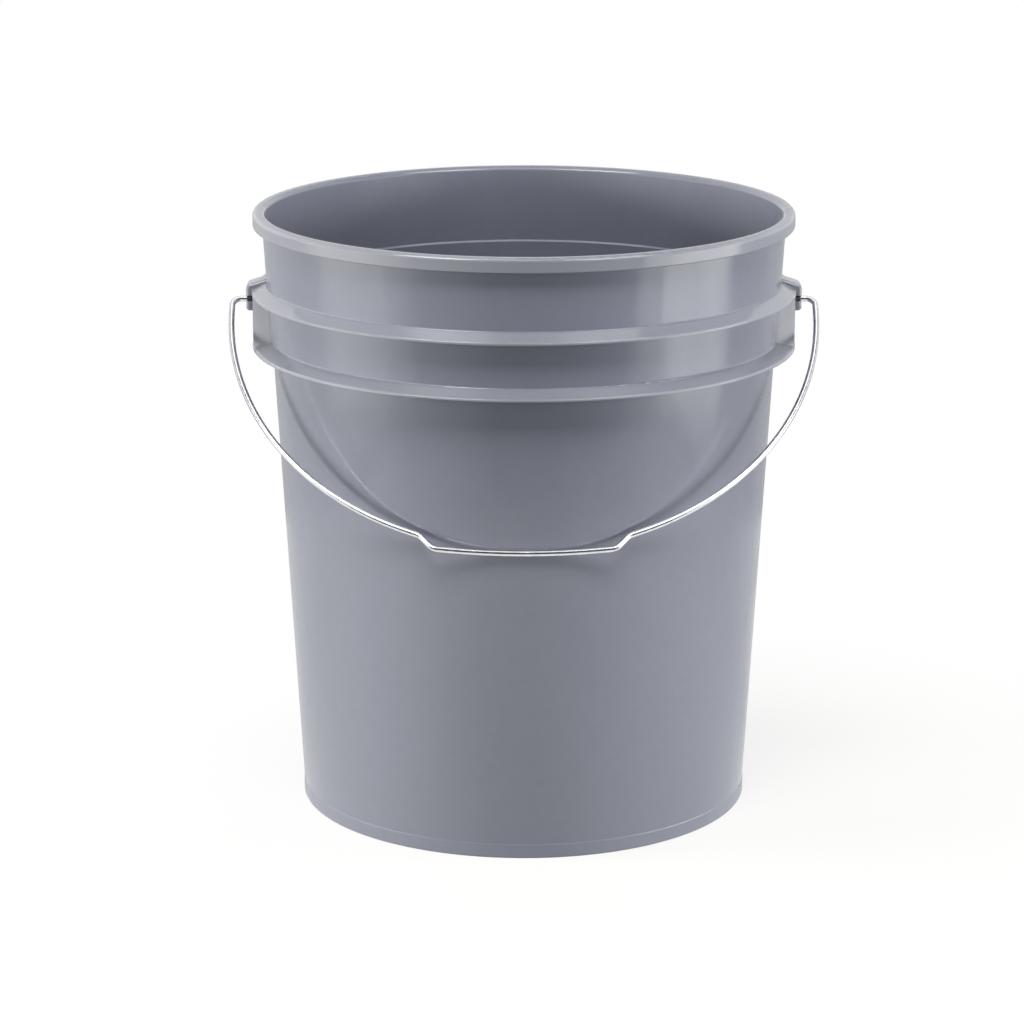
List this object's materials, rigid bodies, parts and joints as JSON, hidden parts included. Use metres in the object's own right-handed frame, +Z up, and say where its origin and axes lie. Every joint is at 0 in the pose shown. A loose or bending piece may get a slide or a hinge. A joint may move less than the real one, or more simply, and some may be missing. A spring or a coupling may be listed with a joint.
{
  "type": "moulded pail with wire bail",
  "caption": "Tapered open-top moulded plastic pail with a turned-down rim, flange rings, moulded ears and a swinging bare wire bail with a jogged hand-grip.",
  "frame": {"origin": "on the standing surface, at the pail's axis", "axes": "+Z up along the pail's axis, +X through the right ear along the bail's pivot line, -Y to the front, where the bail hangs"},
  "size_m": [0.3366, 0.3106, 0.3446],
  "materials": {
    "pail_plastic": "glossy grey polyethylene",
    "bail_wire": "bright drawn galvanised wire"
  },
  "bodies": {
    "pail": {"pail_body": "pail_plastic"},
    "bail": {"wire_bail": "bail_wire"}
  },
  "joints": [
    {"name": "bail_swing", "type": "hinge", "parent": "pail", "child": "bail", "pos_m": [0, 0, 0.2922], "axis": [-1, 0, 0], "range_deg": [0, 257.1]}
  ]
}
